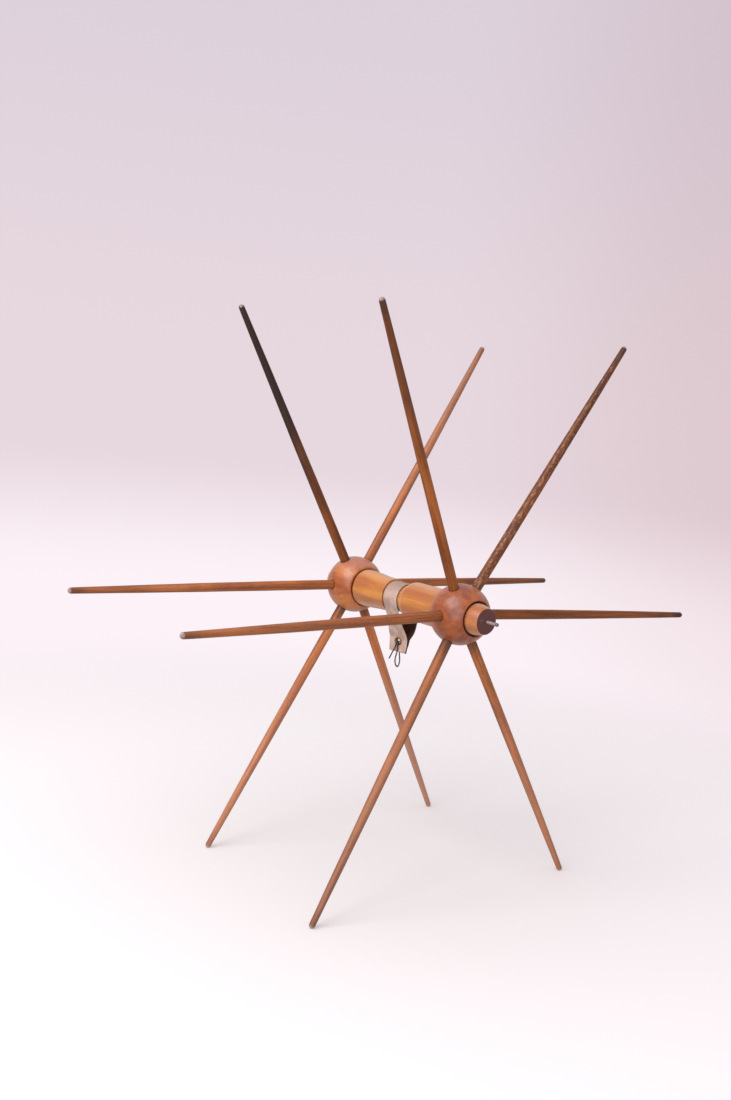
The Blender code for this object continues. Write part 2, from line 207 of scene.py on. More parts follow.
class Finish:
    """A material being made, with short names for the nodes it needs."""

    def __init__(self, name):
        self.material = bpy.data.materials.new(name)
        self.material.use_nodes = True
        self.tree = self.material.node_tree
        self.shader = self.tree.nodes["Principled BSDF"]
        self.where = self.node("TexCoord").outputs["Object"]

    def node(self, kind, **settings):
        made = self.tree.nodes.new("ShaderNode" + kind)
        for key, value in settings.items():
            setattr(made, key, value)
        return made

    def put(self, socket, value):
        if isinstance(value, bpy.types.NodeSocket):
            self.tree.links.new(value, socket)
        else:
            socket.default_value = value

    def set(self, **values):
        for key, value in values.items():
            self.put(self.shader.inputs[key.replace("_", " ")], value)

    def stretched(self, stretch, shift=0.0):
        """The object's own coordinates, scaled along each axis and shifted so patterns differ."""
        mapping = self.node("Mapping")
        self.put(mapping.inputs["Vector"], self.where)
        mapping.inputs["Scale"].default_value = stretch
        mapping.inputs["Location"].default_value = (shift, shift * 0.7, shift * 1.3)
        return mapping.outputs["Vector"]

    def noise(self, vector, scale, detail=3.0, roughness=0.55, distortion=0.0):
        made = self.node("TexNoise")
        self.put(made.inputs["Vector"], vector)
        made.inputs["Scale"].default_value = scale
        made.inputs["Detail"].default_value = detail
        made.inputs["Roughness"].default_value = roughness
        made.inputs["Distortion"].default_value = distortion
        return made.outputs["Fac"]

    def span(self, value, low, high, first=0.0, last=1.0):
        """From first to last as the value goes from low to high, with soft ends."""
        made = self.node("MapRange", interpolation_type="SMOOTHSTEP")
        self.put(made.inputs["Value"], value)
        made.inputs["From Min"].default_value = low
        made.inputs["From Max"].default_value = high
        made.inputs["To Min"].default_value = first
        made.inputs["To Max"].default_value = last
        return made.outputs["Result"]

    def calc(self, operation, a, b=0.0):
        made = self.node("Math", operation=operation)
        self.put(made.inputs[0], a)
        self.put(made.inputs[1], b)
        return made.outputs[0]

    def mix(self, factor, a, b, mode="MIX"):
        """A mix of two colours: a Mix node's colour sockets follow those for numbers and vectors."""
        made = self.node("Mix", data_type="RGBA", blend_type=mode)
        self.put(made.inputs[0], factor)
        self.put(made.inputs[6], a)
        self.put(made.inputs[7], b)
        return made.outputs[2]

    def axis(self, letter, vector=None):
        """One part of a vector, or of the object's own coordinates."""
        made = self.node("SeparateXYZ")
        self.put(made.inputs[0], vector or self.where)
        return made.outputs[letter]

    def crevice(self, reach):
        """1 in the open, lower where other surfaces come close: painted shade goes there."""
        made = self.node("AmbientOcclusion", samples=8)
        made.inputs["Distance"].default_value = reach
        return made.outputs["AO"]

    def facing(self):
        """0 where the surface faces the eye, 1 at its outline: painted sheen is put there."""
        made = self.node("LayerWeight")
        made.inputs["Blend"].default_value = 0.5
        return made.outputs["Facing"]

    def bump(self, height, depth, strength=1.0):
        made = self.node("Bump")
        made.inputs["Strength"].default_value = strength
        made.inputs["Distance"].default_value = depth
        self.put(made.inputs["Height"], height)
        self.put(self.shader.inputs["Normal"], made.outputs["Normal"])


def shade(color, amount):
    """A colour made darker or paler."""
    return (*[min(c * amount, 1.0) for c in color[:3]], 1)


def wood(finish, pale, deep, seed, figure=70.0, fibre=700.0, along=0.05):
    """The grain along the object's own Z: (colour, fibre pattern, broad blotches)."""
    lengthwise = finish.stretched((1, 1, along), seed)
    streaks = finish.noise(lengthwise, figure, 4.0, 0.6, 0.4)
    fibres = finish.noise(lengthwise, fibre, 3.0, 0.65)
    blotches = finish.noise(finish.stretched((1, 1, 0.5), seed * 1.7), 38.0, 4.0, 0.6)
    color = finish.mix(finish.span(streaks, 0.36, 0.66), pale, deep)
    color = finish.mix(finish.span(fibres, 0.50, 0.72, 0, 0.55), color, deep)
    return color, fibres, blotches


def spoke_finish(side, number, reach):
    """Varnished wood, rubbed and darkened by hands, with painted shade near the ball and a painted
    highlight at the tip: Z runs from the ball's middle to the tip.
    """
    tone, burnt, stained, scuffed, dusty = AGES[side, number]
    seed = 0.37 * number + (2.1 if side == "rear" else 0.0)
    look = Finish(f"spoke_wood_{side}_{number}")
    pale, deep = shade(SPOKE_PALE, tone), shade(SPOKE_DEEP, tone)
    color, fibres, blotches = wood(look, pale, deep, seed, 260.0, 1500.0, 0.035)
    color = look.mix(look.span(blotches, 0.42, 0.70, 0, 0.55), color, shade(SPOKE_DEEP, tone * 0.8))
    length = look.axis("Z")
    marks = look.noise(look.stretched((1, 1, 0.45), seed * 2.3), 420.0, 4.0, 0.7)
    rubbed = look.calc("MULTIPLY", look.span(marks, 0.57, 0.70), scuffed)
    color = look.mix(rubbed, color, shade(GRIME_AND_SHADE, 1.2))
    bare = look.span(marks, 0.42 + 0.06 * scuffed, 0.30 + 0.08 * scuffed)
    worn = look.calc("MULTIPLY", bare, 0.25 + 0.55 * scuffed)
    color = look.mix(worn, color, shade(BARE_WOOD, 0.75 * max(tone, scuffed)))
    outwards = look.span(length, 0.04, 0.22, 0.15, 0.75 * dusty + 0.15)
    powder = look.calc("ADD", outwards, look.span(marks, 0.3, 0.7, -0.15, 0.10))
    color = look.mix(look.calc("MULTIPLY", powder, min(dusty * 4, 1)), color, SPOKE_DUST)
    outer = look.calc("ADD", length, look.calc("MULTIPLY", blotches, 0.10))
    soot = look.span(outer, 0.10 + 0.10 * (1 - burnt), 0.27 + 0.05 * (1 - burnt), 0, burnt)
    color = look.mix(soot, color, SOOT)
    ragged = look.calc("ADD", length, look.calc("MULTIPLY", marks, 0.012))
    tip = look.span(ragged, reach - 0.016, reach + 0.001, 0, stained)
    color = look.mix(tip, color, shade(SOOT, 1.6))
    # pale worn wood at the very tip, partly a painted highlight on the rounded end
    bare_highlit_tip = look.span(length, reach - 0.0030, reach - 0.0012, 0, 0.8)
    color = look.mix(look.calc("MULTIPLY", bare_highlit_tip, look.span(marks, 0.36, 0.50)), color, WORN_TIP_AND_HIGHLIGHT)
    # grime and painted shade in the corner beside the ball, and painted shade further out, under the ball,
    # on the spokes that stand on the floor
    root_grime_and_shade = look.span(length, BALL_RADIUS + 0.0016, BALL_RADIUS - 0.0008, 0, 0.55)
    color = look.mix(root_grime_and_shade, color, GRIME_AND_SHADE)
    if number in STANDING:
        under_ball_reach = look.calc("ADD", length, look.calc("MULTIPLY", marks, 0.016))
        under_ball_shade = look.span(under_ball_reach, BALL_RADIUS + 0.032, BALL_RADIUS + 0.004, 0, 0.70)
        color = look.mix(under_ball_shade, color, GRIME_AND_SHADE)
    look.set(Base_Color=color, Specular_IOR_Level=0.35, Coat_Weight=0.12, Coat_Roughness=0.25)
    look.set(Roughness=look.span(marks, 0.3, 0.75, 0.34, 0.62))
    height = look.calc("ADD", fibres, look.calc("MULTIPLY", marks, 0.8))
    look.bump(height, 0.00022, 0.7)
    return look.material


def barrel_finish():
    """Pale turned wood with a worn varnish, its grain and its turning marks along Z."""
    look = Finish("barrel_wood_turned")
    color, fibres, blotches = wood(look, BARREL_PALE, BARREL_DEEP, 0.6, 95.0, 620.0, 0.06)
    color = look.mix(look.span(blotches, 0.40, 0.72, 0, 0.45), color, shade(BARREL_DEEP, 0.9))
    length = look.axis("Z")
    distance = look.calc("ABSOLUTE", length)
    # redder towards the balls and on the stubs outside them
    warm = look.span(distance, 0.030, 0.060, 0, 0.30)
    color = look.mix(warm, color, BARREL_WARM)
    stub = look.span(distance, HUB_OFFSET + 0.015, HUB_OFFSET + 0.020, 0, 0.6)
    color = look.mix(look.calc("MULTIPLY", stub, look.span(fibres, 0.35, 0.62)), color, STUB_RED)
    specks = look.noise(look.stretched((1, 1, 0.4), 3.0), 900.0, 3.0, 0.7)
    color = look.mix(look.span(specks, 0.62, 0.72, 0, 0.5), color, shade(GRIME_AND_SHADE, 1.5))
    # painted sheen: paler and pinker towards the outline, as if the varnish reflected the bright floor
    color = look.mix(look.span(look.facing(), 0.35, 0.85, 0.04, 0.85), color, BARREL_SHEEN)
    # painted shade and grime where other surfaces come close, at the balls and in the groove
    barrel_crevice_shade = look.crevice(0.0045)
    color = look.mix(look.span(barrel_crevice_shade, 0.75, 0.15, 0, 0.85), color, GRIME_AND_SHADE)
    # dark end grain on the two flat ends
    normal = look.node("NewGeometry").outputs["Normal"]
    own = look.node("VectorTransform", vector_type="NORMAL", convert_from="WORLD", convert_to="OBJECT")
    look.put(own.inputs[0], normal)
    endwise = look.span(look.calc("ABSOLUTE", look.axis("Z", own.outputs[0])), 0.55, 0.90)
    last_stretch = look.span(distance, STUB_ENDS["rear"] - 0.0022, STUB_ENDS["rear"] - 0.0004)
    end = look.calc("MULTIPLY", endwise, last_stretch)
    pores = look.noise(look.stretched((1, 1, 1), 5.0), 1400.0, 3.0, 0.7)
    cut = look.mix(look.span(pores, 0.35, 0.70), END_GRAIN, shade(END_GRAIN, 0.35))
    color = look.mix(end, color, cut)
    look.set(Base_Color=color, Specular_IOR_Level=0.5, Coat_Weight=0.60, Coat_Roughness=0.33)
    look.set(Roughness=look.span(blotches, 0.3, 0.7, 0.36, 0.55))
    rings = look.node("TexWave", wave_type="BANDS", bands_direction="Z")
    look.put(rings.inputs["Vector"], look.where)
    rings.inputs["Scale"].default_value = 260.0
    rings.inputs["Distortion"].default_value = 1.5
    grain = look.calc("MULTIPLY", fibres, 0.8)
    turned = look.calc("MULTIPLY", rings.outputs["Fac"], 0.18)
    height = look.calc("ADD", grain, turned)
    look.bump(look.calc("ADD", height, look.calc("MULTIPLY", end, pores)), 0.00025, 0.6)
    return look.material


def ball_finish(side, seed):
    """Dark glossy varnish with worn clouds and dents, a painted sheen at its outline and on top, and
    painted shade and grime in its crevices.
    """
    look = Finish("ball_wood_" + side)
    pale, deep = BALL_PALES[side], BALL_DEEPS[side]
    color, fibres, blotches = wood(look, pale, deep, seed, 60.0, 520.0, 0.10)
    clouds = look.noise(look.stretched((1, 1, 1), seed * 3), 70.0, 5.0, 0.62, 0.8)
    color = look.mix(look.span(clouds, 0.48, 0.66, 0, 0.75), color, shade(deep, 0.8))
    color = look.mix(look.span(blotches, 0.52, 0.34, 0, 0.55), color, shade(pale, 1.35))
    # painted sheen: paler and pinker towards the outline, and on the top where the light falls
    color = look.mix(look.span(look.facing(), 0.40, 0.95, 0.0, 0.40), color, BALL_SHEEN)
    upward = look.axis("Z", look.node("NewGeometry").outputs["Normal"])
    color = look.mix(look.span(upward, 0.35, 0.98, 0, TOP_SHEEN[side]), color, BALL_SHEEN)
    dents = look.noise(look.stretched((1, 1, 1), seed * 5), 420.0, 4.0, 0.7)
    color = look.mix(look.span(dents, 0.60, 0.74, 0, 0.6), color, GRIME_AND_SHADE)
    # painted shade and grime in the ball's crevices, by the barrel and the spokes
    color = look.mix(look.span(look.crevice(0.004), 0.80, 0.20, 0, 0.8), color, shade(GRIME_AND_SHADE, 0.7))
    look.set(Base_Color=color, Specular_IOR_Level=0.5, Coat_Weight=0.85, Coat_Roughness=0.29)
    look.set(Roughness=look.span(clouds, 0.3, 0.75, 0.30, 0.50))
    waves = look.noise(look.stretched((1, 1, 1), seed * 7), 110.0, 2.0, 0.5)
    height = look.calc("ADD", look.calc("MULTIPLY", fibres, 0.35), look.calc("MULTIPLY", dents, 0.5))
    look.bump(look.calc("ADD", height, look.calc("MULTIPLY", waves, 2.2)), 0.00040, 0.65)
    return look.material


def leather_finish(name, pale, deep, roughness, seed):
    """Scuffed, pebbled leather, with painted shade where its layers press together: its outside has
    painted shade over the top of the groove too.
    """
    look = Finish(name)
    cloud = look.noise(look.stretched((1, 1, 1), seed), 130.0, 4.0, 0.6)
    color = look.mix(look.span(cloud, 0.35, 0.68), pale, deep)
    grain = look.noise(look.stretched((1, 1, 0.6), seed * 2), 1500.0, 4.0, 0.7)
    color = look.mix(look.span(grain, 0.52, 0.72, 0, 0.45), color, shade(deep, 0.55))
    scuff = look.noise(look.stretched((0.3, 1, 1), seed * 3), 600.0, 3.0, 0.6)
    color = look.mix(look.span(scuff, 0.60, 0.75, 0, 0.35), color, shade(pale, 1.25))
    if name == "leather_outside":
        # painted shade: the outside is darker over the top of the groove
        over = look.span(look.axis("Z"), SPINDLE_HEIGHT + 0.002, SPINDLE_HEIGHT + 0.015, 0, 0.75)
        color = look.mix(over, color, shade(deep, 0.85))
    # painted shade where the layers press together and where other surfaces come close
    pinched_shade = look.crevice(0.0015)
    color = look.mix(look.span(pinched_shade, 0.70, 0.10, 0, 0.6), color, shade(deep, 0.3))
    look.set(Base_Color=color, Roughness=roughness, Specular_IOR_Level=0.3)
    pebbles = look.node("TexVoronoi", feature="F1")
    look.put(pebbles.inputs["Vector"], look.where)
    pebbles.inputs["Scale"].default_value = 1700.0
    height = look.calc("ADD", look.calc("MULTIPLY", pebbles.outputs["Distance"], 0.7), grain)
    look.bump(height, 0.00018, 0.8)
    return look.material


def metal_finish(name, pale, deep, low, high, seed):
    """Clouded metal, its roughness between low and high, with painted shade where other surfaces come
    close: the Finish, which pin_finish adds to.
    """
    look = Finish(name)
    cloud = look.noise(look.stretched((1, 1, 1), seed), 900.0, 4.0, 0.65)
    fine = look.noise(look.stretched((1, 1, 0.2), seed * 2), 3500.0, 3.0, 0.6)
    color = look.mix(look.span(cloud, 0.38, 0.66), pale, deep)
    # painted shade where other surfaces come close
    color = look.mix(look.span(look.crevice(0.0012), 0.75, 0.20, 0, 0.7), color, shade(deep, 0.3))
    look.set(Base_Color=color, Metallic=1.0, Roughness=look.span(cloud, 0.3, 0.7, low, high))
    look.bump(look.calc("ADD", fine, cloud), 0.00005, 0.6)
    return look


def pin_finish(side):
    """Worn steel, dark at its tip and where it enters the wood."""
    look = metal_finish("pin_steel_worn_" + side, PIN_PALE, PIN_DEEP, 0.26, 0.42, 0.4)
    worn = look.shader.inputs["Base Color"].links[0].from_socket
    length = look.calc("ABSOLUTE", look.axis("Z"))
    tip = look.span(length, PIN_TIPS[side] - 0.0030, PIN_TIPS[side] - 0.0012)
    collar = look.span(length, STUB_ENDS[side] + 0.0022, STUB_ENDS[side] + 0.0004)
    color = look.mix(look.calc("MULTIPLY", tip, 0.8), worn, PIN_END)
    color = look.mix(look.calc("MULTIPLY", collar, 0.55), color, PIN_COLLAR)
    look.set(Base_Color=color, Metallic=0.75)
    return look.material


# ---------------------------------------------------------------- meshes


def piece(name, mesh, materials, body, replaced, matrix=None, sharp=35.0):
    """A finished piece, riding on its body in place of the frame's own node."""
    made = bpy.data.objects.new(name, mesh)
    bpy.context.scene.collection.objects.link(made)
    for finish in materials:
        mesh.materials.append(finish)
    for face in mesh.polygons:
        face.use_smooth = True
    mesh.set_sharp_from_angle(angle=math.radians(sharp))
    if matrix is not None:
        made.matrix_world = matrix
    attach(made, body)
    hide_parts(replaced)
    return made


def lathe(name, profile, steps=TURN_STEPS, closed=False):
    """A mesh turned about Z from (radius, height) points."""
    mesh = bpy.data.meshes.new(name)
    work = bmesh.new()
    rings = []
    for radius, height in profile:
        if radius < 1e-7:
            rings.append([work.verts.new((0, 0, height))] * steps)
            continue
        angles = [2 * math.pi * i / steps for i in range(steps)]
        circle = [(radius * math.cos(a), radius * math.sin(a), height) for a in angles]
        rings.append([work.verts.new(place) for place in circle])
    pairs = list(zip(rings, rings[1:] + rings[:1])) if closed else list(zip(rings, rings[1:]))
    for one, two in pairs:
        for i in range(steps):
            j = (i + 1) % steps
            corners = []
            for vert in (one[i], one[j], two[j], two[i]):
                if vert not in corners:
                    corners.append(vert)
            if len(corners) > 2:
                work.faces.new(corners)
    bmesh.ops.recalc_face_normals(work, faces=work.faces)
    work.to_mesh(mesh)
    work.free()
    return mesh


def catmull_rom(points, pieces):
    """A smooth path through the points, with so many pieces between each two."""
    points = [Vector(p) for p in points]
    path = []
    for i in range(len(points) - 1):
        p0, p1 = points[max(i - 1, 0)], points[i]
        p2, p3 = points[i + 1], points[min(i + 2, len(points) - 1)]
        for k in range(pieces):
            t = k / pieces
            path.append(
                0.5 * (2 * p1 + (p2 - p0) * t + (2 * p0 - 5 * p1 + 4 * p2 - p3) * t * t
                       + (3 * p1 - p0 - 3 * p2 + p3) * t ** 3)
            )
    return path + [points[-1]]


def smooth_outline(points, pieces=6):
    return [tuple(p) for p in catmull_rom([Vector(p) for p in points], pieces)]


def rounded(corner, before, after, size, pieces=4):
    """A small fillet in place of a profile's corner, towards the points before and after."""
    corner, before, after = Vector(corner), Vector(before), Vector(after)
    start = corner + (before - corner).normalized() * size
    end = corner + (after - corner).normalized() * size
    found = []
    for i in range(pieces + 1):
        t = i / pieces
        found.append(tuple(start * (1 - t) ** 2 + corner * 2 * t * (1 - t) + end * t * t))
    return found


def ball_height(radius):
    """How far from a ball's middle, along the spindle, its surface has this radius."""
    return BALL_HALF_LENGTH * math.sqrt(1 - (radius / BALL_RADIUS) ** 2)


def solid(name, verts, faces):
    """A mesh of these faces, all turned outwards."""
    mesh = bpy.data.meshes.new(name)
    mesh.from_pydata(verts, [], faces)
    work = bmesh.new()
    work.from_mesh(mesh)
    bmesh.ops.recalc_face_normals(work, faces=work.faces)
    work.to_mesh(mesh)
    work.free()
    return mesh


def cut_out(mesh, cutter_mesh):
    """The mesh with the cutter taken out of it."""
    body = bpy.data.objects.new("cut_body", mesh)
    cutter = bpy.data.objects.new("cut_tool", cutter_mesh)
    for made in (body, cutter):
        bpy.context.scene.collection.objects.link(made)
    boolean = body.modifiers.new("cut", "BOOLEAN")
    boolean.operation = "DIFFERENCE"
    boolean.object = cutter
    graph = bpy.context.evaluated_depsgraph_get()
    found = bpy.data.meshes.new_from_object(body.evaluated_get(graph))
    for made in (body, cutter):
        bpy.data.objects.remove(made)
    return found


def rods(places, radius, depth, steps=40):
    """Plain rods in one mesh, each along its own place's Z."""
    mesh = bpy.data.meshes.new("rods")
    work = bmesh.new()
    for place in places:
        bmesh.ops.create_cone(
            work, cap_ends=True, segments=steps, radius1=radius, radius2=radius, depth=depth,
            matrix=place,
        )
    work.to_mesh(mesh)
    work.free()
    return mesh


# ---------------------------------------------------------------- spokes


def towards(direction):
    """The turn that points Z along a direction."""
    return direction.to_track_quat("Z", "Y").to_matrix().to_4x4()


def spoke_direction(side, number):
    """Which way a spoke points: every 60 degrees round the spindle, splayed away from the barrel."""
    stray, lean = STRAYS[side][number - 1]
    bearing = math.radians(60 * (number - 1) + stray)
    outward = SPOKE_SPLAY if side == "front" else -SPOKE_SPLAY
    splay = math.radians(outward + lean)
    level = math.cos(splay)
    return Vector((math.sin(splay), level * math.cos(bearing), level * math.sin(bearing)))


def make_spoke(side, number):
    """A tapered spoke with a round tip, a little uneven and bowed, as if worked by hand."""
    direction = spoke_direction(side, number)
    reach = FOOT_DROP / -direction.z + SPOKE_TIP_RADIUS if number in STANDING else SPOKE_REACH
    hub = SPINDLE + Vector((HUB_OFFSET if side == "front" else -HUB_OFFSET, 0, 0))
    tip_centre = reach - SPOKE_TIP_RADIUS
    profile = [(0, reach)]
    for i in range(1, 8):
        angle = math.radians(90 * (1 - i / 8))
        height = tip_centre + SPOKE_TIP_RADIUS * math.sin(angle)
        profile.append((SPOKE_TIP_RADIUS * math.cos(angle), height))
    for i in range(57):
        t = 1 - i / 56
        radius = SPOKE_ROOT_RADIUS - (SPOKE_ROOT_RADIUS - SPOKE_TIP_RADIUS) * t * t
        profile.append((radius, SPOKE_START + (tip_centre - SPOKE_START) * t))
    profile.append((0, SPOKE_START))
    mesh = lathe(f"spoke_{side}_{number}", profile, 32)
    seed = number * 5.1 + (31.7 if side == "rear" else 0)
    bow = Vector((noise.noise((seed, 0, 0)), noise.noise((0, seed, 0)))) * SPOKE_BOW
    for vert in mesh.vertices:
        x, y, z = vert.co
        t = min(max((z - UNEVEN_FROM) / (tip_centre - UNEVEN_FROM), 0), 1)
        swell = noise.noise((x * 90 + seed, y * 90, z * 26)) * 0.026
        swell += noise.noise((seed, x * 60, z * 70)) * 0.010
        swell *= min(t * 8, 1) * min((1 - t) * 12 + 0.35, 1)
        sway = math.sin(math.pi * t)
        vert.co = (x * (1 + swell) + bow.x * sway, y * (1 + swell) + bow.y * sway, z)
    node = f"spoke_{side}_{number}"
    finish = spoke_finish(side, number, reach)
    matrix = Matrix.Translation(hub) @ towards(direction)
    piece(f"turned_{node}", mesh, [finish], "swift", node, matrix)


# ---------------------------------------------------------------- hubs, barrel and pins


def make_hub(side, seed):
    """A ball with a dished mouth at each end, a bore for the tenon and holes for six spokes."""
    sign = 1 if side == "front" else -1
    start = math.asin(ball_height(OUTER_MOUTH_RADIUS + 0.0004) / BALL_HALF_LENGTH)
    end = -math.asin(ball_height(INNER_MOUTH_RADIUS + 0.0005) / BALL_HALF_LENGTH)
    arc = []
    for i in range(61):
        angle = start + (end - start) * i / 60
        arc.append((BALL_RADIUS * math.cos(angle), BALL_HALF_LENGTH * math.sin(angle)))
    bore = TENON_RADIUS + GAP
    inner, outer = -ball_height(INNER_MOUTH_RADIUS), ball_height(OUTER_MOUTH_RADIUS)
    dish = [
        (INNER_MOUTH_RADIUS - 0.0003, inner + 0.0003),
        (bore + 0.0004, inner + MOUTH_DEPTH - 0.0002),
        (bore, inner + MOUTH_DEPTH + 0.0003),
        (bore, outer - MOUTH_DEPTH - 0.0003),
        (bore + 0.0003, outer - MOUTH_DEPTH + 0.0001),
        (OUTER_MOUTH_RADIUS - 0.0003, outer - 0.0003),
    ]
    mesh = lathe("ball", [(r, sign * h) for r, h in arc + dish], closed=True)
    for vert in mesh.vertices:
        place = vert.co
        if place.xy.length > OUTER_MOUTH_RADIUS:
            vert.co = place * (1 + noise.noise(place * 45 + Vector((seed, 0, 0))) * 0.0035)
    to_local = ALONG_X.inverted()
    places = []
    for number in range(1, 7):
        direction = spoke_direction(side, number)
        places.append(to_local @ Matrix.Translation(direction * HOLE_MIDDLE) @ towards(direction))
    mesh = cut_out(mesh, rods(places, SPOKE_ROOT_RADIUS + FIT, HOLE_LENGTH))
    matrix = Matrix.Translation(SPINDLE + Vector((sign * HUB_OFFSET, 0, 0))) @ ALONG_X
    finish = ball_finish(side, seed)
    piece("turned_hub_" + side, mesh, [finish], "swift", "hub_" + side, matrix)


def stub_and_shoulder(side):
    """From the bottom of the pin's hole, over the stub's end, to the shoulder inside the ball."""
    hole = PIN_RADIUS + FIT
    mouth = HUB_OFFSET - ball_height(INNER_MOUTH_RADIUS)
    end = STUB_ENDS[side]
    face = (STUB_END_RADIUS, end)
    inside = (TENON_RADIUS, mouth + MOUTH_DEPTH - GAP)
    points = [(0, end - PIN_DEPTH), (hole, end - PIN_DEPTH), (hole, end - 0.0006)]
    points += [(hole + 0.0005, end - 0.00008), (0.0050, end), (0.0090, end - 0.00003)]
    points += rounded(face, (0.0090, end), (TENON_RADIUS, STUB_FOOT), 0.0009, 5)
    for t, swell in ((0.30, 0.00022), (0.60, 0.00030), (0.85, 0.00020)):
        radius = STUB_END_RADIUS + (TENON_RADIUS - STUB_END_RADIUS) * t + swell
        points.append((radius, end + (STUB_FOOT - end) * t))
    points += [(TENON_RADIUS, TENON_END), (TENON_RADIUS, TENON_MIDDLE)]
    return points + [inside, (SHOULDER_RADIUS - 0.0002, mouth - GAP)]


def make_barrel():
    """The spindle's one turned piece: stub, waist, groove for the strap, taper and stub."""
    waist = smooth_outline(BARREL_WAIST, 8)
    lip = smooth_outline(GROOVE_LIP, 3)
    bottom = [(GROOVE_RADIUS + 0.0003, GROOVE_FRONT), (GROOVE_RADIUS, GROOVE_FRONT - 0.0004)]
    bottom += [(GROOVE_RADIUS, GROOVE_REAR + 0.0004), (GROOVE_RADIUS + 0.0003, GROOVE_REAR)]
    rear_lip = (REAR_LIP_RADIUS, GROOVE_REAR)
    back = rounded(rear_lip, (GROOVE_RADIUS, GROOVE_REAR), BARREL_TAPER[1], 0.0005, 4)
    taper = smooth_outline(BARREL_TAPER, 8)
    front = stub_and_shoulder("front")
    rear = [(radius, -height) for radius, height in reversed(stub_and_shoulder("rear"))]
    mesh = lathe("barrel", front + waist + lip + bottom + back + taper + rear)
    matrix = Matrix.Translation(SPINDLE) @ ALONG_X
    finish = barrel_finish()
    piece("turned_barrel", mesh, [finish], "swift", "spindle_barrel", matrix, 30.0)


def make_pin(side, finish):
    """The steel pin in a stub's end, with a slightly swollen, crowned tip."""
    sign = 1 if side == "front" else -1
    end = STUB_ENDS[side]
    inner = end - PIN_DEPTH + GAP
    tip = PIN_TIPS[side]
    profile = [(0, tip)]
    for i in range(1, 7):
        angle = math.radians(90 * (1 - i / 6))
        height = tip - PIN_CROWN + PIN_CROWN * math.sin(angle)
        profile.append((PIN_HEAD_RADIUS * math.cos(angle), height))
    profile += [(PIN_HEAD_RADIUS, tip - 0.0022), (PIN_RADIUS, tip - 0.0027)]
    profile += [(PIN_RADIUS * 0.985, tip - 0.0070), (PIN_RADIUS, end), (PIN_RADIUS, inner), (0, inner)]
    mesh = lathe("pin", [(radius, sign * height) for radius, height in profile], 40)
    node = "axle_pin_" + side
    matrix = Matrix.Translation(SPINDLE) @ ALONG_X
    piece("turned_" + node, mesh, [finish], "swift", node, matrix)


# ---------------------------------------------------------------- strap, eyelet and wire


def tab_layer(z, side):
    """A point of one of the tab's two layers, as (Y, Z) from the spindle's middle."""
    middle = TAB_Y + (EYELET_Z - z) * math.tan(math.radians(TAB_LEAN))
    return Vector((middle + side * LAYER_PITCH / 2, z))


def strap_path():
    """The strap's middle line in the YZ plane: its taut part, from the tab up and over the groove, and
    its slack part, which hangs down the other side back to the tab."""
    leave = math.radians(STRAP_LEAVES)
    touch = Vector((-STRAP_RADIUS * math.cos(leave), -STRAP_RADIUS * math.sin(leave)))
    along = Vector((math.sin(leave), -math.cos(leave)))
    flat = [tab_layer(TAB_BOTTOM + 0.0010 * i, -1) for i in range(13)]
    corner = tab_layer(TAB_CORNER, -1)
    bend = rounded(corner, tab_layer(TAB_BEND, -1), touch + along * STRAIGHT_RUN, 0.0013, 6)
    bend = [Vector(p) for p in bend]
    run = [touch + along * STRAIGHT_RUN * (1 - i / 12) for i in range(12)]
    first = 180 + STRAP_LEAVES
    angles = [math.radians(first * (1 - i / 48)) for i in range(49)]
    over = [Vector((STRAP_RADIUS * math.cos(a), STRAP_RADIUS * math.sin(a))) for a in angles]
    route = [
        Vector((STRAP_RADIUS, 0)),
        Vector((0.0149, -0.0080)),
        Vector((0.0150, -0.0170)),
        Vector((0.0138, -0.0255)),
        Vector((0.0107, -0.0312)),
        Vector((0.0070, -0.0356)),
        Vector((0.0047, -0.0381)),
        tab_layer(TAB_BEND, 1),
        tab_layer(TAB_STRAIGHT, 1),
    ]
    back = catmull_rom(route, 8)[1:]
    for i in range(1, 10):
        back.append(tab_layer(TAB_STRAIGHT + (SLACK_BOTTOM - TAB_STRAIGHT) * i / 9, 1))
    return flat + bend + run + over, back


def smooth_step(value, low, high):
    """From 0 at low to 1 at high, with soft ends."""
    share = min(max((value - low) / (high - low), 0), 1)
    return share * share * (3 - 2 * share)


def twisted(x, y, z):
    """The place of a strap point once the hanging ends have turned, and curled at the bottom."""
    turned = smooth_step(z, TWIST_TOP, TWIST_BOTTOM) * math.tan(math.radians(TAB_TWIST))
    curled = smooth_step(z, CURL_TOP, TAB_BOTTOM)
    return Vector((STRAP_X + x, y + x * turned * (1 - 0.30 * curled) - CURL * curled, z))


def flared(x, z):
    """How far the slack layer's front edge bulges out, most of all above the eyelet's middle."""
    rise = smooth_step(z, FLARE_TOP, FLARE_PEAK) * smooth_step(z, FLARE_BOTTOM, FLARE_PEAK)
    return FLARE * rise * max(x / (STRAP_WIDTH / 2), 0) ** 2


def tab_frame(lean=TAB_LEAN):
    """Where the eyelet sits, with Z out of the tab and Y up along it."""
    across = Vector((1, math.tan(math.radians(TAB_TWIST)), 0)).normalized()
    up = Vector((0, -math.tan(math.radians(lean)), 1))
    outward = across.cross(up).normalized()
    turn = Matrix((across, outward.cross(across), outward)).transposed().to_4x4()
    return Matrix.Translation(SPINDLE + Vector((STRAP_X, TAB_Y, EYELET_Z))) @ turn


# Where the strap's width is divided, closer towards its edges
HALF_ACROSS = (0.2, 0.45, 0.65, 0.80, 0.90, 0.955, 0.985, 1)
ACROSS = (*[-share for share in reversed(HALF_ACROSS)], 0, *HALF_ACROSS)


